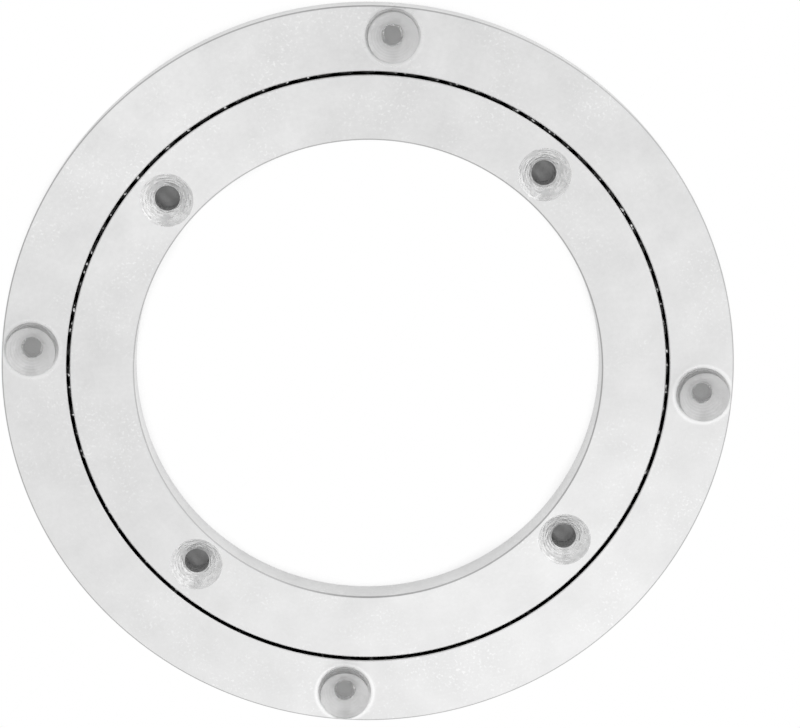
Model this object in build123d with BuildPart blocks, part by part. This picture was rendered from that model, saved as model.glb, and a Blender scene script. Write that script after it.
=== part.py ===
"""Turntable bearing: two flat aluminium rings that turn on one row of steel balls.

The rings lie in the XY plane. The inner ring rests on Z = 0 and stands a little proud of
the outer ring there. Both rings are flush on the upper face, which carries the pads and
the countersunk holes. The origin is on the bearing's axis. All sizes are in millimetres.
"""

from build123d import *
from math import asin, floor, pi, radians, tan
import os

os.makedirs("parts", exist_ok=True)

# Rings, measured inwards from the rim
outer_diameter = 120.0
outer_ring_width = 10.55
ring_gap = 0.6
inner_ring_width = 10.55
inner_ring_thickness = 6.2
proud_height = 0.4
edge_break = 0.25
gap_edge_break = 0.15

# Balls and the groove that they run in
ball_diameter = 3.5
ball_spacing = 0.005
ball_set_count = 22
race_clearance = 0.1

# Countersunk holes: screw holes in the inner ring and pad holes in the outer ring
hole_count = 4
countersink_diameter = 8.65
countersink_angle = 90.0
screw_hole_diameter = 4.1
screw_hole_land = 0.7
screw_start_angle = 48.8
pad_hole_diameter = 3.3
pad_hole_land = 0.5
pad_start_angle = 85.9

# Pads
pad_height = 2.2
pad_lip = 0.12
pad_taper = 0.4
pad_crown = 0.15
pad_rim_round = 0.3
pad_hole_clearance = 0.05
pad_stem_recess = 0.8
pad_stem_edge_break = 0.3

# Ball filling hole and its plug
filling_clearance = 0.05
plug_clearance = 0.02
plug_recess = 0.15
plug_edge_break = 0.2
plug_offset_angle = 135.0

# Radii and heights that follow from the sizes above
outer_radius = outer_diameter / 2
outer_wall_radius = outer_radius - outer_ring_width
pitch_radius = outer_wall_radius - ring_gap / 2
inner_wall_radius = outer_wall_radius - ring_gap
bore_radius = inner_wall_radius - inner_ring_width
outer_ring_thickness = inner_ring_thickness - proud_height
upper_face = Plane.XY.offset(inner_ring_thickness)

ball_radius = ball_diameter / 2
race_radius = ball_radius + race_clearance
race_height = proud_height + outer_ring_thickness / 2
race_center = (pitch_radius, race_height)

countersink_radius = countersink_diameter / 2
screw_hole_radius = screw_hole_diameter / 2
screw_circle_radius = bore_radius + screw_hole_land + countersink_radius
pad_hole_radius = pad_hole_diameter / 2
pad_circle_radius = outer_radius - pad_hole_land - countersink_radius

filling_radius = ball_radius + filling_clearance
filling_direction = Vector(1, 0, 0).rotate(Axis.Z, pad_start_angle + plug_offset_angle)
filling_axis = Axis((0, 0, race_height), filling_direction)
filling_plane = Plane(filling_axis.position, z_dir=filling_direction).offset(pitch_radius)


# Outer ring: a flat turned ring with a round groove in its inner wall, countersunk pad
# holes in the upper face, and a radial hole through the rim for filling in the balls.
with BuildPart() as outer_ring:
    with BuildSketch(Plane.XZ) as outer_section:
        with Locations((outer_wall_radius, proud_height)):
            Rectangle(outer_ring_width, outer_ring_thickness, align=(Align.MIN, Align.MIN))
        rim_corners = outer_section.vertices().group_by(Axis.X)[-1]
        chamfer(rim_corners, edge_break)
        gap_corners = outer_section.vertices().group_by(Axis.X)[0]
        chamfer(gap_corners, gap_edge_break)
        with Locations(race_center):
            Circle(race_radius, mode=Mode.SUBTRACT)
    revolve(axis=Axis.Z)
    with Locations(upper_face):
        with PolarLocations(pad_circle_radius, hole_count, start_angle=pad_start_angle):
            CounterSinkHole(pad_hole_radius, countersink_radius, counter_sink_angle=countersink_angle)
    with BuildSketch(filling_plane):
        Circle(filling_radius)
    extrude(amount=outer_radius, mode=Mode.SUBTRACT)

outer_ring.part.label = "outer_ring"
export_step(outer_ring.part, "parts/outer_ring.step")


# Inner ring: the thicker ring, with the matching groove in its outer wall and the
# countersunk screw holes.
with BuildPart() as inner_ring:
    with BuildSketch(Plane.XZ) as inner_section:
        with Locations((bore_radius, 0)):
            Rectangle(inner_ring_width, inner_ring_thickness, align=(Align.MIN, Align.MIN))
        bore_corners = inner_section.vertices().group_by(Axis.X)[0]
        chamfer(bore_corners, edge_break)
        gap_corners = inner_section.vertices().group_by(Axis.X)[-1]
        chamfer(gap_corners, gap_edge_break)
        with Locations(race_center):
            Circle(race_radius, mode=Mode.SUBTRACT)
    revolve(axis=Axis.Z)
    with Locations(upper_face):
        with PolarLocations(screw_circle_radius, hole_count, start_angle=screw_start_angle):
            CounterSinkHole(screw_hole_radius, countersink_radius, counter_sink_angle=countersink_angle)

inner_ring.part.label = "inner_ring"
export_step(inner_ring.part, "parts/inner_ring.step")


# Balls: a full row without a cage, spread evenly round the race. Each set holds the
# balls of one sector.
ball_count = floor(pi / asin((ball_diameter + ball_spacing) / 2 / pitch_radius))
first_ball_center = Vector(pitch_radius, 0, race_height)

for set_index in range(ball_set_count):
    sector_start = set_index * ball_count // ball_set_count
    sector_end = (set_index + 1) * ball_count // ball_set_count
    ball_centers = [
        first_ball_center.rotate(Axis.Z, 360 * ball_index / ball_count)
        for ball_index in range(sector_start, sector_end)
    ]
    with BuildPart() as ball_set:
        with Locations(*ball_centers):
            Sphere(ball_radius)

    set_name = f"ball_set_{set_index + 1:02d}"
    ball_set.part.label = set_name
    export_step(ball_set.part, f"parts/{set_name}.step")


# Filling plug: a pin that closes the filling hole. Its inner end carries on the groove,
# so that the balls roll past it, and its outer end lies just below the rim.
with BuildPart() as filling_plug:
    with BuildSketch(filling_plane):
        Circle(filling_radius - plug_clearance)
    extrude(amount=outer_radius - plug_recess - pitch_radius)
    rim_end = filling_plug.faces().sort_by(filling_axis)[-1]
    chamfer(rim_end.edges(), plug_edge_break)
    with BuildSketch(Plane.XZ):
        with Locations(race_center):
            Circle(race_radius)
    revolve(axis=Axis.Z, mode=Mode.SUBTRACT)

filling_plug.part.label = "filling_plug"
export_step(filling_plug.part, "parts/filling_plug.step")


# Pads: each has a low tapered head that lies on the ring's face, and below it a cone and
# a stem that fill the countersunk hole. The stem ends inside the hole.
pad_base_radius = countersink_radius + pad_lip
pad_top_radius = pad_base_radius - pad_taper
pad_shoulder_height = pad_height - pad_crown
pad_cone_radius = countersink_radius - pad_hole_clearance
pad_stem_radius = pad_hole_radius - pad_hole_clearance
pad_cone_depth = (pad_cone_radius - pad_stem_radius) / tan(radians(countersink_angle / 2))
pad_stem_depth = outer_ring_thickness - pad_stem_recess
first_pad_seat = Vector(pad_circle_radius, 0, inner_ring_thickness)

for pad_index in range(hole_count):
    pad_angle = pad_start_angle + 360 * pad_index / hole_count
    pad_seat = first_pad_seat.rotate(Axis.Z, pad_angle)
    pad_plane = Plane(pad_seat, x_dir=(1, 0, 0), z_dir=(0, -1, 0))
    with BuildPart() as pad:
        with BuildSketch(pad_plane) as pad_section:
            with BuildLine():
                TangentArc((0, pad_height), (pad_top_radius, pad_shoulder_height), tangent=(1, 0))
                Polyline(
                    (pad_top_radius, pad_shoulder_height),
                    (pad_base_radius, 0),
                    (pad_cone_radius, 0),
                    (pad_stem_radius, -pad_cone_depth),
                    (pad_stem_radius, -pad_stem_depth),
                    (0, -pad_stem_depth),
                    (0, pad_height),
                )
            make_face()
            shoulder = pad_section.vertices().group_by(Axis.Y)[-2]
            fillet(shoulder, pad_rim_round)
            stem_tip = pad_section.vertices().group_by(Axis.Y)[0].sort_by(Axis.X)[-1]
            chamfer(stem_tip, pad_stem_edge_break)
        revolve(axis=Axis(pad_seat, (0, 0, 1)))

    pad_name = f"pad_{pad_index + 1}"
    pad.part.label = pad_name
    export_step(pad.part, f"parts/{pad_name}.step")
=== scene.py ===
from math import acos, atan2, cos, pi, radians, sin

import bpy
from mathutils import Matrix, Vector


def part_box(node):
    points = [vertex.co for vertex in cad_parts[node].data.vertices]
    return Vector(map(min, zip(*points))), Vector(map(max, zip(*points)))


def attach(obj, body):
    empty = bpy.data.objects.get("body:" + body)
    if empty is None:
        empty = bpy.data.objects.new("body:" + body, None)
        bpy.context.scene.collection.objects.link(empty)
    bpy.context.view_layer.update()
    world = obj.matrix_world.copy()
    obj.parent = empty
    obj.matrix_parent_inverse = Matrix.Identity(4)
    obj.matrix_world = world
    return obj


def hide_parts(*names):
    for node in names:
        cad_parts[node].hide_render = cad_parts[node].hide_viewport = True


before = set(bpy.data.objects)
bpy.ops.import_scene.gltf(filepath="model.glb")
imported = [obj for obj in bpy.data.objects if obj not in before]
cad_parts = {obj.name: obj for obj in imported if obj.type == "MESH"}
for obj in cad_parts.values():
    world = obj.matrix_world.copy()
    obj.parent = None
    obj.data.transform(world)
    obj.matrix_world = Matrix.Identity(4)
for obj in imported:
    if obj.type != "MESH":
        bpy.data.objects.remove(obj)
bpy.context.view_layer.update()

mm = 0.001


# Outer ring: a flat ring turned from aluminium plate, with a round groove for the balls in
# its inner wall. Four countersunk holes take the pads, one radial hole in the rim takes the
# balls at assembly, and the faces have a fine satin finish.
outer_low, outer_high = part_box("outer_ring")
outer_radius = outer_high.x
ring_face = outer_high.z
outer_ring_foot = outer_low.z
ring_width = 10.55 * mm
ring_gap = 0.6 * mm
edge_break = 0.25 * mm
gap_edge_break = 0.15 * mm
outer_wall_radius = outer_radius - ring_width
pitch_radius = outer_wall_radius - ring_gap / 2
race_height = (outer_ring_foot + ring_face) / 2
race_radius = 1.85 * mm
race_steps = 24
turning_steps = 360
crease_angle = radians(32)

hole_count = 4
pad_hole_radius = 1.65 * mm
countersink_radius = 4.325 * mm
pad_circle_radius = 55.175 * mm
first_pad_angle = radians(85.9)
filling_hole_radius = 1.8 * mm
filling_angle = first_pad_angle + radians(135)
tool_overrun = 1 * mm


def set_sockets(node, inputs):
    """Sets a node's inputs by name or number, each to a plain value or to a link."""
    for name, value in dict(inputs).items():
        if isinstance(value, bpy.types.NodeSocket):
            node.id_data.links.new(value, node.inputs[name])
        else:
            node.inputs[name].default_value = value


def place(tree, kind, inputs=(), **choices):
    """Adds one node to a tree, with the node's own choices and its inputs."""
    node = tree.nodes.new(kind)
    for name, value in choices.items():
        setattr(node, name, value)
    set_sockets(node, inputs)
    return node


def math_node(tree, operation, *values):
    """A Math node's result."""
    return place(tree, "ShaderNodeMath", enumerate(values), operation=operation).outputs[0]


def vector_node(tree, operation, *values):
    """A Vector Math node, whose first output is a vector and whose second is a number."""
    return place(tree, "ShaderNodeVectorMath", enumerate(values), operation=operation)


def distance_node(tree, value, middle):
    """How far one number is from another."""
    return math_node(tree, "ABSOLUTE", math_node(tree, "SUBTRACT", value, middle))


def compare_node(tree, operation, first, second):
    """A Compare node's yes or no on two numbers."""
    node = place(tree, "FunctionNodeCompare", {0: first, 1: second},
                 data_type="FLOAT", operation=operation)
    return node.outputs["Result"]


def from_axis(tree, spot):
    """The way from the bearing's axis to a spot, as a vector and as a radius."""
    across = vector_node(tree, "MULTIPLY", spot, (1, 1, 0)).outputs[0]
    return across, vector_node(tree, "LENGTH", across).outputs["Value"]


def height_node(tree, spot):
    """A spot's height."""
    return place(tree, "ShaderNodeSeparateXYZ", {0: spot}).outputs["Z"]


def new_tree(name, inputs):
    """A Geometry Nodes tree with the named inputs that a maker would set, and those inputs."""
    tree = bpy.data.node_groups.new(name, "GeometryNodeTree")
    tree.interface.new_socket("Geometry", in_out="INPUT", socket_type="NodeSocketGeometry")
    for socket_name, socket_type in inputs.items():
        tree.interface.new_socket(socket_name, in_out="INPUT", socket_type=socket_type)
    tree.interface.new_socket("Geometry", in_out="OUTPUT", socket_type="NodeSocketGeometry")
    return tree, place(tree, "NodeGroupInput").outputs


def run_tree(name, start_mesh, tree, values):
    """The tree's result on the start mesh, as a plain mesh object with no modifier."""
    source = bpy.data.objects.new(name + "_source", start_mesh)
    bpy.context.scene.collection.objects.link(source)
    modifier = source.modifiers.new(tree.name, "NODES")
    modifier.node_group = tree
    for item in tree.interface.items_tree:
        if item.in_out == "INPUT" and item.name in values:
            modifier[item.identifier] = values[item.name]
    depsgraph = bpy.context.evaluated_depsgraph_get()
    evaluated = source.evaluated_get(depsgraph)
    result = bpy.data.meshes.new_from_object(evaluated, depsgraph=depsgraph)
    bpy.data.objects.remove(source)
    result.name = name
    piece = bpy.data.objects.new(name, result)
    bpy.context.scene.collection.objects.link(piece)
    return piece


def circle_of_node(tree, shape, count, radius, first_angle, height):
    """Instances of one shape at even steps round a circle."""
    places = place(tree, "GeometryNodeMeshCircle", {"Vertices": count, "Radius": radius})
    turn = place(tree, "ShaderNodeCombineXYZ", {"Z": first_angle})
    lift = place(tree, "ShaderNodeCombineXYZ", {"Z": height})
    seats = place(tree, "GeometryNodeTransform",
                  {"Geometry": places.outputs["Mesh"], "Rotation": turn.outputs["Vector"],
                   "Translation": lift.outputs["Vector"]})
    shapes = place(tree, "GeometryNodeInstanceOnPoints",
                   {"Points": seats.outputs["Geometry"], "Instance": shape})
    return shapes.outputs["Instances"]


def realize_node(tree, instances):
    """Instances made into one mesh."""
    node = place(tree, "GeometryNodeRealizeInstances", {"Geometry": instances})
    return node.outputs["Geometry"]


def smooth_node(tree, mesh):
    """The mesh with smooth faces."""
    node = place(tree, "GeometryNodeSetShadeSmooth", {"Geometry": mesh}, domain="FACE")
    return node.outputs["Geometry"]


def creased_node(tree, mesh):
    """The mesh with smooth faces that meet at sharp edges where the angle is large."""
    edge_angle = place(tree, "GeometryNodeInputMeshEdgeAngle").outputs["Unsigned Angle"]
    node = place(tree, "GeometryNodeSetShadeSmooth",
                 {"Geometry": smooth_node(tree, mesh), "Shade Smooth": False,
                  "Selection": compare_node(tree, "GREATER_THAN", edge_angle, crease_angle)},
                 domain="EDGE")
    return node.outputs["Geometry"]


def finish_node(tree, mesh, finish, where=True):
    """The mesh with a material on all its faces or on some of them."""
    node = place(tree, "GeometryNodeSetMaterial",
                 {"Geometry": mesh, "Selection": where, "Material": finish})
    return node.outputs["Geometry"]


def ring_section(gap_wall, far_wall, foot, face):
    """A ring's section as a closed line, measured out and down from the race's centre."""
    away = 1 if far_wall > gap_wall else -1
    corners = [
        (gap_wall, foot + gap_edge_break),
        (gap_wall + away * gap_edge_break, foot),
        (far_wall - away * edge_break, foot),
        (far_wall, foot + edge_break),
        (far_wall, face - edge_break),
        (far_wall - away * edge_break, face),
        (gap_wall + away * gap_edge_break, face),
        (gap_wall, face - gap_edge_break),
    ]
    race_reach = acos(abs(gap_wall - pitch_radius) / race_radius)
    for step in range(race_steps + 1):
        turn = race_reach * (1 - 2 * step / race_steps)
        corners.append((pitch_radius + away * race_radius * cos(turn),
                        race_height + race_radius * sin(turn)))
    if away < 0:
        corners.reverse()
    points = [(radius - pitch_radius, race_height - height, 0) for radius, height in corners]
    edges = [(index, (index + 1) % len(points)) for index in range(len(points))]
    section = bpy.data.meshes.new("ring_section")
    section.from_pydata(points, edges, [])
    return section


def turned_mesh(name, outline, steps):
    """A solid turned about Z from an outline of (radius, height) that starts and ends on it."""
    middle = outline[1:-1]
    points = [(0, 0, outline[0][1])]
    for radius, height in middle:
        for step in range(steps):
            angle = 2 * pi * step / steps
            points.append((radius * cos(angle), radius * sin(angle), height))
    points.append((0, 0, outline[-1][1]))
    faces = []
    for step in range(steps):
        following = (step + 1) % steps
        faces.append((0, 1 + following, 1 + step))
        for row in range(len(middle) - 1):
            low = 1 + row * steps
            high = low + steps
            faces.append((low + step, low + following, high + following, high + step))
        last = 1 + (len(middle) - 1) * steps
        faces.append((last + step, last + following, len(points) - 1))
    mesh = bpy.data.meshes.new(name)
    mesh.from_pydata(points, [], faces)
    return mesh


def countersink_cutter(name, hole_radius, foot, face):
    """The drill and countersink as one turned tool, with fine steps from the tool's chatter."""
    tool_steps = 96
    chatter_steps = 36
    chatter_pitch = 0.42 * mm
    chatter_height = 0.006 * mm
    cone_depth = countersink_radius - hole_radius
    outline = [
        (0, foot - tool_overrun),
        (hole_radius, foot - tool_overrun),
        (hole_radius, face - cone_depth),
    ]
    for step in range(1, chatter_steps):
        rise = cone_depth * step / chatter_steps
        ripple = chatter_height * sin(2 * pi * rise / chatter_pitch)
        outline.append((hole_radius + rise + ripple, face - cone_depth + rise - ripple))
    outline += [
        (countersink_radius, face),
        (countersink_radius + tool_overrun, face + tool_overrun),
        (0, face + tool_overrun),
    ]
    return bpy.data.objects.new(name, turned_mesh(name, outline, tool_steps))


def rim_cutter(name):
    """The drill that bores the filling hole from the rim into the groove."""
    tool_steps = 64
    outline = [
        (0, pitch_radius),
        (filling_hole_radius, pitch_radius),
        (filling_hole_radius, outer_radius + tool_overrun),
        (0, outer_radius + tool_overrun),
    ]
    mesh = turned_mesh(name, outline, tool_steps)
    mesh.transform(Matrix.Translation((0, 0, race_height))
                   @ Matrix.Rotation(filling_angle, 4, "Z")
                   @ Matrix.Rotation(pi / 2, 4, "Y"))
    return bpy.data.objects.new(name, mesh)


def turned_ring_tree():
    """The ring's maker: turns the section, bores the holes and gives each surface its finish."""
    tree, given = new_tree("turned_ring", {
        "Turning steps": "NodeSocketInt",
        "Pitch radius": "NodeSocketFloat",
        "Race height": "NodeSocketFloat",
        "Race reach": "NodeSocketFloat",
        "Hole cutter": "NodeSocketObject",
        "Hole count": "NodeSocketInt",
        "Hole circle radius": "NodeSocketFloat",
        "First hole angle": "NodeSocketFloat",
        "Rim cutter": "NodeSocketObject",
        "Face finish": "NodeSocketMaterial",
        "Race finish": "NodeSocketMaterial",
        "Bored finish": "NodeSocketMaterial",
    })
    section = place(tree, "GeometryNodeMeshToCurve", {"Mesh": given["Geometry"]})
    rail = place(tree, "GeometryNodeCurvePrimitiveCircle",
                 {"Resolution": given["Turning steps"], "Radius": given["Pitch radius"]})
    swept = place(tree, "GeometryNodeCurveToMesh",
                  {"Curve": rail.outputs["Curve"], "Profile Curve": section.outputs["Curve"]})
    lift = place(tree, "ShaderNodeCombineXYZ", {"Z": given["Race height"]})
    blank = place(tree, "GeometryNodeTransform",
                  {"Geometry": swept.outputs["Mesh"], "Translation": lift.outputs["Vector"]})

    hole_tool = place(tree, "GeometryNodeObjectInfo", {"Object": given["Hole cutter"]})
    hole_tools = circle_of_node(tree, hole_tool.outputs["Geometry"], given["Hole count"],
                                given["Hole circle radius"], given["First hole angle"], 0.0)
    rim_tool = place(tree, "GeometryNodeObjectInfo", {"Object": given["Rim cutter"]})
    tools = place(tree, "GeometryNodeJoinGeometry", {"Geometry": rim_tool.outputs["Geometry"]})
    tree.links.new(hole_tools, tools.inputs["Geometry"])
    marked_tools = place(tree, "GeometryNodeStoreNamedAttribute",
                         {"Geometry": realize_node(tree, tools.outputs["Geometry"]),
                          "Name": "bored", "Value": 1.0},
                         data_type="FLOAT", domain="FACE")
    bored = place(tree, "GeometryNodeMeshBoolean",
                  {"Mesh 1": blank.outputs["Geometry"],
                   "Mesh 2": marked_tools.outputs["Geometry"]},
                  operation="DIFFERENCE", solver="EXACT")
    creased = creased_node(tree, bored.outputs["Mesh"])

    race_allowance = 0.01 * mm
    gap_wall_height = 0.9 * mm
    spot = place(tree, "GeometryNodeInputPosition").outputs[0]
    radius = from_axis(tree, spot)[1]
    beside_pitch = compare_node(
        tree, "LESS_THAN", distance_node(tree, radius, given["Pitch radius"]),
        math_node(tree, "ADD", given["Race reach"], race_allowance))
    beside_race = compare_node(
        tree, "LESS_THAN", distance_node(tree, height_node(tree, spot), given["Race height"]),
        math_node(tree, "ADD", given["Race reach"], gap_wall_height))
    in_race = place(tree, "FunctionNodeBooleanMath", {0: beside_pitch, 1: beside_race},
                    operation="AND")
    bored_mark = place(tree, "GeometryNodeInputNamedAttribute", {"Name": "bored"},
                       data_type="FLOAT")
    is_bored = compare_node(tree, "GREATER_THAN", bored_mark.outputs["Attribute"], 0.5)

    faced = finish_node(tree, realize_node(tree, creased), given["Face finish"])
    raced = finish_node(tree, faced, given["Race finish"], in_race.outputs[0])
    finished = finish_node(tree, raced, given["Bored finish"], is_bored)
    place(tree, "NodeGroupOutput", {"Geometry": finished})
    return tree


def new_shader_group(name, inputs, output):
    """A shader node group that makes one value, and its number inputs with their first values."""
    group = bpy.data.node_groups.new(name, "ShaderNodeTree")
    for socket_name, value in inputs.items():
        socket = group.interface.new_socket(socket_name, in_out="INPUT",
                                            socket_type="NodeSocketFloat")
        socket.default_value = value
    group.interface.new_socket(output, in_out="OUTPUT", socket_type="NodeSocketFloat")
    return group, place(group, "NodeGroupInput").outputs


def object_spot(tree):
    """The spot on the piece, in the piece's own coordinates."""
    return place(tree, "ShaderNodeTexCoord").outputs["Object"]


def noise_node(tree, spot, scale, detail, roughness):
    """Plain noise, most of it between 0.25 and 0.75."""
    node = place(tree, "ShaderNodeTexNoise",
                 {"Vector": spot, "Scale": scale, "Detail": detail, "Roughness": roughness})
    return node.outputs["Fac"]


def spread_node(tree, value, low, high, start=0.0, end=1.0):
    """A value between start and end mapped to the range from low to high."""
    node = place(tree, "ShaderNodeMapRange",
                 {"Value": value, "From Min": start, "From Max": end,
                  "To Min": low, "To Max": high})
    return node.outputs["Result"]


def turning_marks_group():
    """Fine marks round the bearing's axis, left by the lathe and softened by the finish."""
    group, given = new_shader_group(
        "turning_marks", {"Mark pitch": 0.12 * mm, "Break up": 8.0}, "Marks")
    spot = object_spot(group)
    across, radius = from_axis(group, spot)
    heading = vector_node(group, "NORMALIZE", across).outputs[0]
    around = place(group, "ShaderNodeVectorMath", {0: heading, "Scale": given["Break up"]},
                   operation="SCALE")
    travel = math_node(group, "ADD", radius, height_node(group, spot))
    lanes = place(group, "ShaderNodeCombineXYZ",
                  {"Z": math_node(group, "DIVIDE", travel, given["Mark pitch"])})
    spot_on_mark = vector_node(group, "ADD", around.outputs[0], lanes.outputs[0]).outputs[0]
    place(group, "NodeGroupOutput", {"Marks": noise_node(group, spot_on_mark, 1.0, 2.0, 0.5)})
    return group


def mottle_group():
    """Soft uneven patches of a surface, as a value from 0 to 1."""
    group, given = new_shader_group("mottle", {"Patch size": 1 * mm, "Roughness": 0.6}, "Patches")
    scale = math_node(group, "DIVIDE", 1.0, given["Patch size"])
    noise = noise_node(group, object_spot(group), scale, 4.0, given["Roughness"])
    place(group, "NodeGroupOutput", {"Patches": spread_node(group, noise, 0.0, 1.0, 0.25, 0.75)})
    return group


def tool_marks_group():
    """Broken rings that a turning tool leaves in a countersunk hole, one above the other."""
    group, given = new_shader_group(
        "tool_marks", {"Mark pitch": 0.25 * mm, "Mark length": 1.5 * mm}, "Marks")
    grain = place(group, "ShaderNodeCombineXYZ",
                  {"X": given["Mark length"], "Y": given["Mark length"],
                   "Z": given["Mark pitch"]})
    stretched = vector_node(group, "DIVIDE", object_spot(group), grain.outputs[0]).outputs[0]
    noise = noise_node(group, stretched, 1.0, 1.5, 0.5)
    place(group, "NodeGroupOutput", {"Marks": spread_node(group, noise, 0.0, 1.0, 0.25, 0.75)})
    return group


def specks_group():
    """Small specks that come in loose clusters, as a value from 0 to 1."""
    group, given = new_shader_group(
        "specks", {"Speck size": 0.4 * mm, "Cluster size": 8 * mm}, "Specks")
    spot = object_spot(group)
    noise_limits = {"Speck size": (0.58, 0.7), "Cluster size": (0.45, 0.7)}
    shares = []
    for socket_name, (low, high) in noise_limits.items():
        scale = math_node(group, "DIVIDE", 1.0, given[socket_name])
        noise = noise_node(group, spot, scale, 2.0, 0.5)
        shares.append(spread_node(group, noise, 0.0, 1.0, low, high))
    place(group, "NodeGroupOutput", {"Specks": math_node(group, "MULTIPLY", *shares)})
    return group


def hole_rings_group():
    """A soft narrow ring round each of four evenly spaced holes, as a value from 0 to 1."""
    group, given = new_shader_group(
        "hole_rings", {"Circle radius": pad_circle_radius, "First angle": first_pad_angle,
                       "Ring radius": 4.6 * mm, "Ring width": 0.3 * mm}, "Rings")
    back_turn = math_node(group, "MULTIPLY", given["First angle"], -1.0)
    squared = place(group, "ShaderNodeVectorRotate",
                    {"Vector": object_spot(group), "Angle": back_turn}, rotation_type="Z_AXIS")
    folded = vector_node(group, "ABSOLUTE", squared.outputs["Vector"]).outputs[0]
    sides = place(group, "ShaderNodeSeparateXYZ", {0: folded}).outputs
    along = math_node(group, "SUBTRACT", math_node(group, "MAXIMUM", sides["X"], sides["Y"]),
                      given["Circle radius"])
    beside = math_node(group, "MINIMUM", sides["X"], sides["Y"])
    reach = math_node(group, "SQRT", math_node(
        group, "ADD", math_node(group, "MULTIPLY", along, along),
        math_node(group, "MULTIPLY", beside, beside)))
    ring = place(group, "ShaderNodeMapRange",
                 {"Value": distance_node(group, reach, given["Ring radius"]),
                  "From Min": 0.0, "From Max": given["Ring width"],
                  "To Min": 1.0, "To Max": 0.0}, interpolation_type="SMOOTHSTEP")
    place(group, "NodeGroupOutput", {"Rings": ring.outputs["Result"]})
    return group


turning_marks = turning_marks_group()
mottle = mottle_group()
tool_marks = tool_marks_group()
specks = specks_group()
hole_rings = hole_rings_group()


def new_material(name):
    """A node material, its tree and its surface shader."""
    material = bpy.data.materials.new(name)
    material.use_nodes = True
    return material, material.node_tree, material.node_tree.nodes["Principled BSDF"]


def grouped(tree, group, values):
    """The value that a shader group makes from a material's own numbers."""
    return place(tree, "ShaderNodeGroup", values, node_tree=group).outputs[0]


def grey_node(tree, value):
    """A neutral grey from one value."""
    node = place(tree, "ShaderNodeCombineColor", {"Red": value, "Green": value, "Blue": value})
    return node.outputs["Color"]


def bump_node(tree, height, strength, depth):
    """The normal of a surface that a height from 0 to 1 roughens."""
    node = place(tree, "ShaderNodeBump",
                 {"Height": height, "Strength": strength, "Distance": depth})
    return node.outputs["Normal"]


def painted_edge_band_node(tree, radius, band_radius, band_width, tone):
    """A painted shade or painted highlight for the broken edge at one radius: the given tone
    there, and 1 elsewhere.
    """
    fade_start = band_width / 2 - 0.03 * mm
    fade_end = band_width / 2 - 0.01 * mm
    off_band = distance_node(tree, radius, band_radius)
    return spread_node(tree, off_band, tone, 1.0, fade_start, fade_end)


def satin_aluminium(name, broken_edge_radius):
    """Turned aluminium with a fine satin: faint clouds and lathe marks, bright specks painted in
    as glints, painted shade on the broken edge at the rim or the bore, a painted highlight on the
    broken edges at the gap, and a painted ring of light round each pad hole, which is also less
    rough there."""
    gap_edge_painted_highlight = 1.08
    far_edge_painted_shade = 0.67
    material, tree, shader = new_material(name)
    marks = grouped(tree, turning_marks, {"Mark pitch": 0.12 * mm, "Break up": 6.0})
    patches = grouped(tree, mottle, {"Patch size": 0.9 * mm, "Roughness": 0.6})
    clouds = grouped(tree, mottle, {"Patch size": 7 * mm, "Roughness": 0.5})
    # Bright specks added to the colour are painted glints.
    painted_glint_specks = grouped(tree, specks, {"Speck size": 0.45 * mm, "Cluster size": 9 * mm})
    # A painted ring of light round each pad hole, standing for the light the clear pad throws on
    # the face; the ring is also made less rough there.
    painted_halo_and_burnish = grouped(tree, hole_rings, {"Ring radius": 4.85 * mm, "Ring width": 0.45 * mm})

    tone = spread_node(tree, patches, 0.85, 0.905)
    changes = [(clouds, -0.045, 0.045), (marks, -0.012, 0.012),
               (painted_glint_specks, 0.0, 0.14), (painted_halo_and_burnish, 0.0, 0.05)]
    for value, low, high in changes:
        tone = math_node(tree, "ADD", tone, spread_node(tree, value, low, high))
    radius = from_axis(tree, object_spot(tree))[1]
    # Painted shade on the rim's or bore's broken edge, and a painted highlight on the gap's
    # broken edges.
    gap_painted_highlight_band = painted_edge_band_node(tree, distance_node(tree, radius, pitch_radius),
                              (ring_gap + gap_edge_break) / 2, gap_edge_break, gap_edge_painted_highlight)
    far_painted_shade_band = painted_edge_band_node(tree, radius, broken_edge_radius, edge_break, far_edge_painted_shade)
    tone_with_painted_edges = math_node(tree, "MULTIPLY", tone,
                           math_node(tree, "MULTIPLY", gap_painted_highlight_band, far_painted_shade_band))
    roughness = math_node(tree, "SUBTRACT", spread_node(tree, patches, 0.37, 0.43),
                          spread_node(tree, painted_halo_and_burnish, 0.0, 0.12))
    set_sockets(shader, {
        "Base Color": grey_node(tree, tone_with_painted_edges),
        "Roughness": roughness,
        "Normal": bump_node(tree, marks, 0.12, 0.05 * mm),
        "Metallic": 1.0,
        "Anisotropic": 0.75,
        "Anisotropic Rotation": 0.25,
    })
    return material


def dark_shaded_race(name):
    """The race and the walls of the gap: bare turned metal, painted near black as the shade deep
    in the gap.
    """
    material, tree, shader = new_material(name)
    marks = grouped(tree, turning_marks, {"Mark pitch": 0.08 * mm, "Break up": 4.0})
    set_sockets(shader, {
        # Painted shade: a near-black base colour for the depth of the gap.
        "Base Color": grey_node(tree, spread_node(tree, marks, 0.015, 0.04)),
        "Roughness": spread_node(tree, marks, 0.28, 0.42),
        "Metallic": 1.0,
    })
    return material


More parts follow.
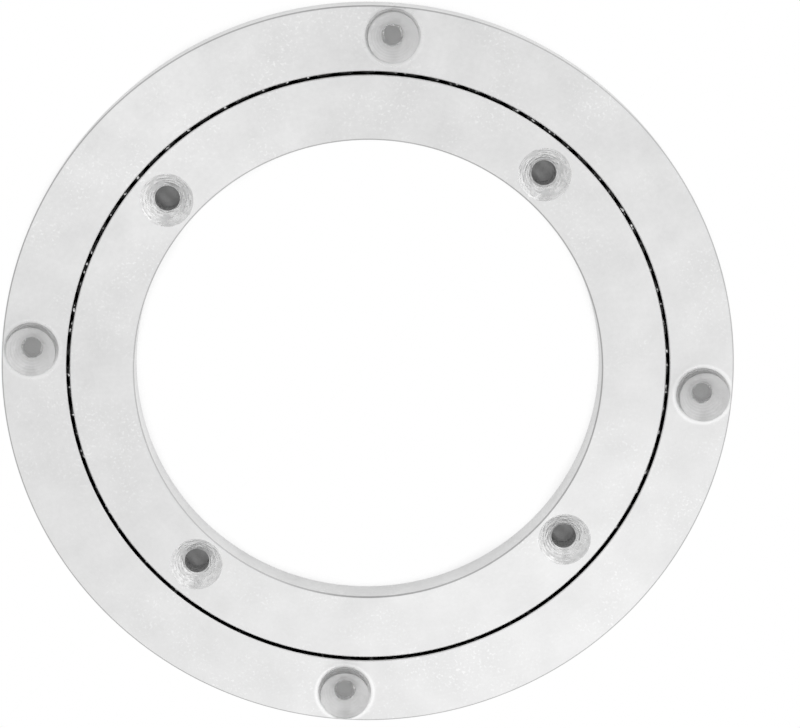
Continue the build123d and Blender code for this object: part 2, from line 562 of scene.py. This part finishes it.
def bored_aluminium(name, hole_radius, wall_tone, cone_tone, dullest, glossiest, metal_share,
                    tear_depth):
    """Metal cut by the tools: a countersink with broken rings above a drilled wall, whose wall
    tone paints shade into the hole.
    """
    ring_share = 0.42
    pit_share = 0.58
    material, tree, shader = new_material(name)
    rings = grouped(tree, tool_marks, {"Mark pitch": 0.5 * mm, "Mark length": 1.6 * mm})
    pits = grouped(tree, mottle, {"Patch size": 0.9 * mm, "Roughness": 0.6})
    mixed = math_node(tree, "ADD", math_node(tree, "MULTIPLY", rings, ring_share),
                      math_node(tree, "MULTIPLY", pits, pit_share))
    tears = spread_node(tree, mixed, 0.0, 1.0, 0.3, 0.7)
    cone_foot = ring_face - (countersink_radius - hole_radius)
    in_cone = spread_node(tree, height_node(tree, object_spot(tree)), 0.0, 1.0,
                          cone_foot - 0.02 * mm, cone_foot + 0.06 * mm)
    cut_tone = place(tree, "ShaderNodeMix",
                     {0: in_cone,
                      2: spread_node(tree, tears, wall_tone - 0.05, wall_tone + 0.05),
                      3: spread_node(tree, tears, cone_tone, 1.0)}, data_type="FLOAT")
    set_sockets(shader, {
        "Base Color": grey_node(tree, cut_tone.outputs["Result"]),
        "Roughness": spread_node(tree, tears, dullest, glossiest),
        "Normal": bump_node(tree, tears, 0.8, tear_depth),
        "Metallic": metal_share,
    })
    return material


ring_tree = turned_ring_tree()
race_finish = dark_shaded_race("dark_shaded_race")
pad_hole_finish = bored_aluminium(
    "pad_hole_metal", pad_hole_radius, wall_tone=0.95, cone_tone=0.97, dullest=0.36,
    glossiest=0.32, metal_share=1.0, tear_depth=0.003 * mm)
alike_in_both_rings = {
    "Turning steps": turning_steps, "Pitch radius": pitch_radius, "Race height": race_height,
    "Race reach": race_radius, "Race finish": race_finish, "Hole count": hole_count}

outer_ring = run_tree(
    "turned_outer_ring",
    ring_section(outer_wall_radius, outer_radius, outer_ring_foot, ring_face),
    ring_tree,
    {**alike_in_both_rings,
     "Hole cutter": countersink_cutter("pad_hole_cutter", pad_hole_radius,
                                       outer_ring_foot, ring_face),
     "Hole circle radius": pad_circle_radius, "First hole angle": first_pad_angle,
     "Rim cutter": rim_cutter("filling_cutter"),
     "Face finish": satin_aluminium("satin_outer_ring", outer_radius - edge_break / 2),
     "Bored finish": pad_hole_finish})
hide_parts("outer_ring")
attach(outer_ring, "outer_ring_body")


# Inner ring: the same turned aluminium, a little thicker, with the matching groove in its
# outer wall and four countersunk holes for the screws that hold it to the base.
inner_low, inner_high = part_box("inner_ring")
inner_wall_radius = inner_high.x
bore_radius = inner_wall_radius - ring_width
screw_hole_radius = 2.05 * mm
screw_hole_land = 0.7 * mm
screw_circle_radius = bore_radius + screw_hole_land + countersink_radius
first_screw_angle = radians(48.8)
# The screw holes' drilled walls are painted darker than their cones, as shade down in the hole.
screw_hole_finish = bored_aluminium(
    "screw_hole_metal", screw_hole_radius, wall_tone=0.65, cone_tone=0.84, dullest=0.42,
    glossiest=0.16, metal_share=0.75, tear_depth=0.06 * mm)

inner_ring = run_tree(
    "turned_inner_ring",
    ring_section(inner_wall_radius, bore_radius, inner_low.z, inner_high.z),
    ring_tree,
    {**alike_in_both_rings,
     "Hole cutter": countersink_cutter("screw_hole_cutter", screw_hole_radius,
                                       inner_low.z, inner_high.z),
     "Hole circle radius": screw_circle_radius, "First hole angle": first_screw_angle,
     "Face finish": satin_aluminium("satin_inner_ring", bore_radius + edge_break / 2),
     "Bored finish": screw_hole_finish})
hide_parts("inner_ring")
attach(inner_ring, "inner_ring_body")


# Balls: a full row of polished steel balls between the two grooves, with no cage. Their colour is
# painted near black as the
#  shade in the gap, with a few small painted glints, and only their tops show in the gap.
ball_nodes = sorted(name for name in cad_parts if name.startswith("ball_set_"))
ball_count = 88
ball_radius = 1.75 * mm
ball_segments = 24
ball_bands = 12


def dark_glinting_steel(name):
    """Polished bearing steel painted near black as shade, with a few small bright spots painted
    in as glints.
    """
    material, tree, shader = new_material(name)
    painted_glint_patches = grouped(tree, mottle, {"Patch size": 0.8 * mm, "Roughness": 0.5})
    set_sockets(shader, {
        # Painted shade nearly everywhere, and painted glints where the patches are high.
        "Base Color": grey_node(tree, spread_node(tree, painted_glint_patches, 0.025, 0.75, 0.65, 0.8)),
        "Roughness": spread_node(tree, painted_glint_patches, 0.3, 0.08),
        "Metallic": 1.0,
    })
    return material


def ball_row_tree():
    """The row's maker: the same ball at even steps round the pitch circle."""
    tree, given = new_tree("ball_row", {
        "Ball radius": "NodeSocketFloat",
        "Ball count": "NodeSocketInt",
        "Pitch radius": "NodeSocketFloat",
        "Race height": "NodeSocketFloat",
        "Ball finish": "NodeSocketMaterial",
    })
    ball = place(tree, "GeometryNodeMeshUVSphere",
                 {"Segments": ball_segments, "Rings": ball_bands, "Radius": given["Ball radius"]})
    balls = circle_of_node(tree, ball.outputs["Mesh"], given["Ball count"],
                           given["Pitch radius"], 0.0, given["Race height"])
    smooth = smooth_node(tree, realize_node(tree, balls))
    place(tree, "NodeGroupOutput", {"Geometry": finish_node(tree, smooth, given["Ball finish"])})
    return tree


balls = run_tree(
    "ball_row", bpy.data.meshes.new("empty_race"), ball_row_tree(),
    {"Ball radius": ball_radius, "Ball count": ball_count, "Pitch radius": pitch_radius,
     "Race height": race_height, "Ball finish": dark_glinting_steel("dark_glinting_steel")})
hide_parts(*ball_nodes)
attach(balls, "ball_train")


# Filling plug: a short aluminium pin that closes the hole through which the balls went in.
# It sits just below the rim, and its end shows the marks of the parting tool.
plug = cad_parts["filling_plug"]


def parted_aluminium(name):
    """The plug's bare metal, a little duller than the ring."""
    material, tree, shader = new_material(name)
    marks = grouped(tree, mottle, {"Patch size": 0.3 * mm, "Roughness": 0.6})
    set_sockets(shader, {
        "Base Color": grey_node(tree, spread_node(tree, marks, 0.7, 0.85)),
        "Roughness": spread_node(tree, marks, 0.3, 0.45),
        "Normal": bump_node(tree, marks, 0.3, 0.03 * mm),
        "Metallic": 1.0,
    })
    return material


plug.data.materials.clear()
plug.data.materials.append(parted_aluminium("parted_aluminium"))


# Pads: four clear silicone buttons on the outer ring that carry the turning plate. Each is
# moulded with a cone and a stem, and pressed into a countersunk hole, which shows through it.
pad_nodes = [f"pad_{number}" for number in range(1, hole_count + 1)]
pad_height = 2.2 * mm
pad_base_radius = countersink_radius + 0.12 * mm
pad_top_radius = pad_base_radius - 0.4 * mm
pad_crown = 0.15 * mm
pad_rim_round = 0.3 * mm
pad_clearance = 0.05 * mm
pad_stem_depth = 5.0 * mm
pad_stem_edge_break = 0.3 * mm
pad_turning_steps = 96
pad_outline_steps = 8


def clear_silicone(name):
    """Clear soft silicone: a faintly uneven head, a smooth stem, and between them a cone that
    can't be seen where it clings to the metal."""
    material, tree, shader = new_material(name)
    skin = grouped(tree, mottle, {"Patch size": 2.4 * mm, "Roughness": 0.4})
    height = height_node(tree, object_spot(tree))
    half_cone = (countersink_radius - pad_hole_radius) / 2
    from_cone = distance_node(tree, height, ring_face - half_cone)
    on_head = math_node(tree, "GREATER_THAN", height, ring_face - pad_clearance)
    unevenness = math_node(tree, "MULTIPLY", skin, on_head)
    set_sockets(shader, {
        "Base Color": (0.98, 0.98, 0.98, 1),
        "Roughness": spread_node(tree, skin, 0.03, 0.09),
        "Normal": bump_node(tree, unevenness, 0.6, 0.15 * mm),
        "Alpha": spread_node(tree, from_cone, 0.0, 1.0, half_cone - 0.2 * mm, half_cone),
        "IOR": 1.41,
        "Transmission Weight": 0.8,
    })
    return material


def pad_outline():
    """The pad's half section from the stem's end up to the crown, above and below the face."""
    cone_radius = countersink_radius - pad_clearance
    stem_radius = pad_hole_radius - pad_clearance
    shoulder = pad_height - pad_crown
    outline = [
        (0, -pad_stem_depth),
        (stem_radius - pad_stem_edge_break, -pad_stem_depth),
        (stem_radius, pad_stem_edge_break - pad_stem_depth),
        (stem_radius, stem_radius - cone_radius),
        (cone_radius, 0),
        (pad_base_radius, 0),
    ]
    side = Vector((pad_top_radius - pad_base_radius, shoulder)).normalized()
    corner = Vector((pad_top_radius, shoulder))
    side_angle = atan2(side.y, side.x)
    inward = Vector((-side.y, side.x))
    round_centre = corner - side * pad_rim_round + inward * pad_rim_round
    for step in range(pad_outline_steps + 1):
        angle = side_angle - pi / 2 + (pi - side_angle) * step / pad_outline_steps
        outline.append((round_centre.x + pad_rim_round * cos(angle),
                        round_centre.y + pad_rim_round * sin(angle)))
    crown_edge, crown_foot = outline[-1]
    for step in range(1, pad_outline_steps + 1):
        left = 1 - step / pad_outline_steps
        outline.append((crown_edge * left, pad_height - (pad_height - crown_foot) * left ** 2))
    return outline


def pad_set_tree():
    """The pads' maker: the same pad in each hole of the circle."""
    tree, given = new_tree("pad_set", {
        "Pad count": "NodeSocketInt",
        "Circle radius": "NodeSocketFloat",
        "First pad angle": "NodeSocketFloat",
        "Seat height": "NodeSocketFloat",
        "Pad finish": "NodeSocketMaterial",
    })
    pads = circle_of_node(tree, given["Geometry"], given["Pad count"], given["Circle radius"],
                          given["First pad angle"], given["Seat height"])
    creased = creased_node(tree, realize_node(tree, pads))
    place(tree, "NodeGroupOutput", {"Geometry": finish_node(tree, creased, given["Pad finish"])})
    return tree


pads = run_tree(
    "clear_pads", turned_mesh("pad", pad_outline(), pad_turning_steps), pad_set_tree(),
    {"Pad count": hole_count, "Circle radius": pad_circle_radius,
     "First pad angle": first_pad_angle, "Seat height": ring_face,
     "Pad finish": clear_silicone("clear_silicone")})
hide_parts(*pad_nodes)
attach(pads, "outer_ring_body")


# Studio: a plain pale floor under the bearing, three large soft lamps and a pale surround.
# The camera looks down on the upper face from half a metre, a little off the upright.
floor_reach = 2.5
floor_drop = 0.02 * mm
mirrored_share = 0.55
shadow_reach = 8 * mm


def seen_directly(tree):
    """1 for what is seen straight or through something clear, less for what metal mirrors."""
    light_path = place(tree, "ShaderNodeLightPath").outputs
    by_mirror = math_node(tree, "MULTIPLY", light_path["Is Glossy Ray"], mirrored_share)
    straight = math_node(tree, "MAXIMUM", light_path["Is Camera Ray"],
                         light_path["Is Transmission Ray"])
    return math_node(tree, "MAXIMUM", straight, by_mirror)


def from_below(tree):
    """1 where the floor is met from below, or by the light on an underside seen from below."""
    light_path = place(tree, "ShaderNodeLightPath").outputs
    passed_floor = math_node(tree, "GREATER_THAN", light_path["Transparent Depth"], 0.5)
    first_bounce = math_node(tree, "LESS_THAN", light_path["Ray Depth"], 1.5)
    lower_side = place(tree, "ShaderNodeNewGeometry").outputs["Backfacing"]
    return math_node(tree, "MAXIMUM", lower_side,
                     math_node(tree, "MULTIPLY", passed_floor, first_bounce))


def pale_floor(name):
    """A white sweep: plain white to the eye where light reaches it, with shade painted in under
    the part and in its holes from ambient occlusion, and clear from below so that the underside
    can be seen."""
    material, tree, shader = new_material(name)
    openness = place(tree, "ShaderNodeAmbientOcclusion", {"Distance": shadow_reach},
                     samples=8).outputs["AO"]
    # Painted shade: the floor's colour darkens and its white fades where ambient occlusion finds
    # it closed in.
    set_sockets(shader, {
        "Base Color": grey_node(tree, spread_node(tree, openness, 0.3, 0.9)),
        "Roughness": 0.9,
        "Specular IOR Level": 0.0,
    })
    white = place(tree, "ShaderNodeEmission", {"Color": (1, 1, 1, 1), "Strength": 1.0})
    white_share = math_node(tree, "MULTIPLY", seen_directly(tree),
                            spread_node(tree, openness, 0.0, 1.0, 0.25, 0.5))
    upper_side = place(tree, "ShaderNodeMixShader",
                       {0: white_share, 1: shader.outputs[0], 2: white.outputs[0]})
    clear = place(tree, "ShaderNodeBsdfTransparent")
    one_sided = place(tree, "ShaderNodeMixShader",
                      {0: from_below(tree), 1: upper_side.outputs[0], 2: clear.outputs[0]})
    set_sockets(tree.nodes["Material Output"], {"Surface": one_sided.outputs[0]})
    return material


floor_corners = [(x * floor_reach, y * floor_reach, -floor_drop)
                 for x, y in ((-1, -1), (1, -1), (1, 1), (-1, 1))]
floor_mesh = bpy.data.meshes.new("studio_floor")
floor_mesh.from_pydata(floor_corners, [], [(0, 1, 2, 3)])
floor_mesh.materials.append(pale_floor("pale_floor"))
floor = bpy.data.objects.new("studio_floor", floor_mesh)
bpy.context.scene.collection.objects.link(floor)

surround_level = 0.79
window_gain = 0.22
window_heading = (0.98, 0.17, 0)
opening_loss = 0.35
opening_heading = (0, 0.217, 0.976)
opening_edge = (0.96, 0.995)
stand_loss = 0.45
stand_heading = (0, 0.985, 0.17)
stand_edge = (0.92, 0.98)


def toward_node(tree, heading, direction):
    """1 where the surround's heading is the given direction, falling to -1 behind it."""
    return vector_node(tree, "DOT_PRODUCT", heading, direction).outputs["Value"]


def pale_surround(name):
    """White to the eye; as light, a little stronger from the window, weaker from the camera's
    opening and from its dark stand."""
    world = bpy.data.worlds.new(name)
    world.use_nodes = True
    tree = world.node_tree
    heading = place(tree, "ShaderNodeTexCoord").outputs["Generated"]
    window = math_node(tree, "MULTIPLY", toward_node(tree, heading, window_heading), window_gain)
    opening = spread_node(tree, toward_node(tree, heading, opening_heading),
                          0.0, opening_loss, *opening_edge)
    stand = spread_node(tree, toward_node(tree, heading, stand_heading),
                        0.0, stand_loss, *stand_edge)
    level = math_node(tree, "SUBTRACT", math_node(tree, "ADD", window, surround_level),
                      math_node(tree, "ADD", opening, stand))
    seen_by_camera = place(tree, "ShaderNodeLightPath").outputs["Is Camera Ray"]
    set_sockets(tree.nodes["Background"], {
        "Color": (1, 1, 1, 1),
        "Strength": math_node(tree, "MAXIMUM", level, seen_by_camera),
    })
    return world


def soft_lamp(name, size, power, location):
    """A square soft lamp that faces the bearing."""
    lamp_data = bpy.data.lights.new(name, "AREA")
    lamp_data.shape = "SQUARE"
    lamp_data.size = size
    lamp_data.energy = power
    lamp = bpy.data.objects.new(name, lamp_data)
    lamp.location = location
    lamp.rotation_euler = (-Vector(location)).to_track_quat("-Z", "Y").to_euler()
    bpy.context.scene.collection.objects.link(lamp)


bpy.context.scene.world = pale_surround("studio_surround")
soft_lamp("overhead_lamp", 0.75, 0.85, (0.14, -0.55, 0.78))
soft_lamp("corner_lamp", 0.45, 0.3, (-0.36, 0.32, 0.8))
soft_lamp("side_lamp", 1.2, 0.4, (0.9, 0.75, 0.4))

camera_tilt = radians(12.54)
camera_lean = radians(-0.68)
camera_distance = 0.5
focal_pixels = 3052.05
picture_width = 800
picture_height = 728
aim_column = 368.26
aim_row = 372.21
sensor_width = 36

camera_back = Vector((sin(camera_lean) * cos(camera_tilt), sin(camera_tilt),
                      cos(camera_lean) * cos(camera_tilt)))
camera_up = (Vector((0, 1, 0)) - camera_back * camera_back.y).normalized()
camera_right = camera_up.cross(camera_back)
camera_turn = Matrix((camera_right, camera_up, camera_back)).transposed()
camera_place = Vector((0, 0, ring_face)) + camera_back * camera_distance

camera_data = bpy.data.cameras.new("photo_camera")
camera_data.sensor_width = sensor_width
camera_data.lens = focal_pixels * sensor_width / picture_width
camera_data.shift_x = (picture_width / 2 - aim_column) / picture_width
camera_data.shift_y = (aim_row - picture_height / 2) / picture_width
camera = bpy.data.objects.new("photo_camera", camera_data)
bpy.context.scene.collection.objects.link(camera)
camera.matrix_world = Matrix.Translation(camera_place) @ camera_turn.to_4x4()
bpy.context.scene.camera = camera
bpy.context.scene.view_settings.view_transform = "Standard"
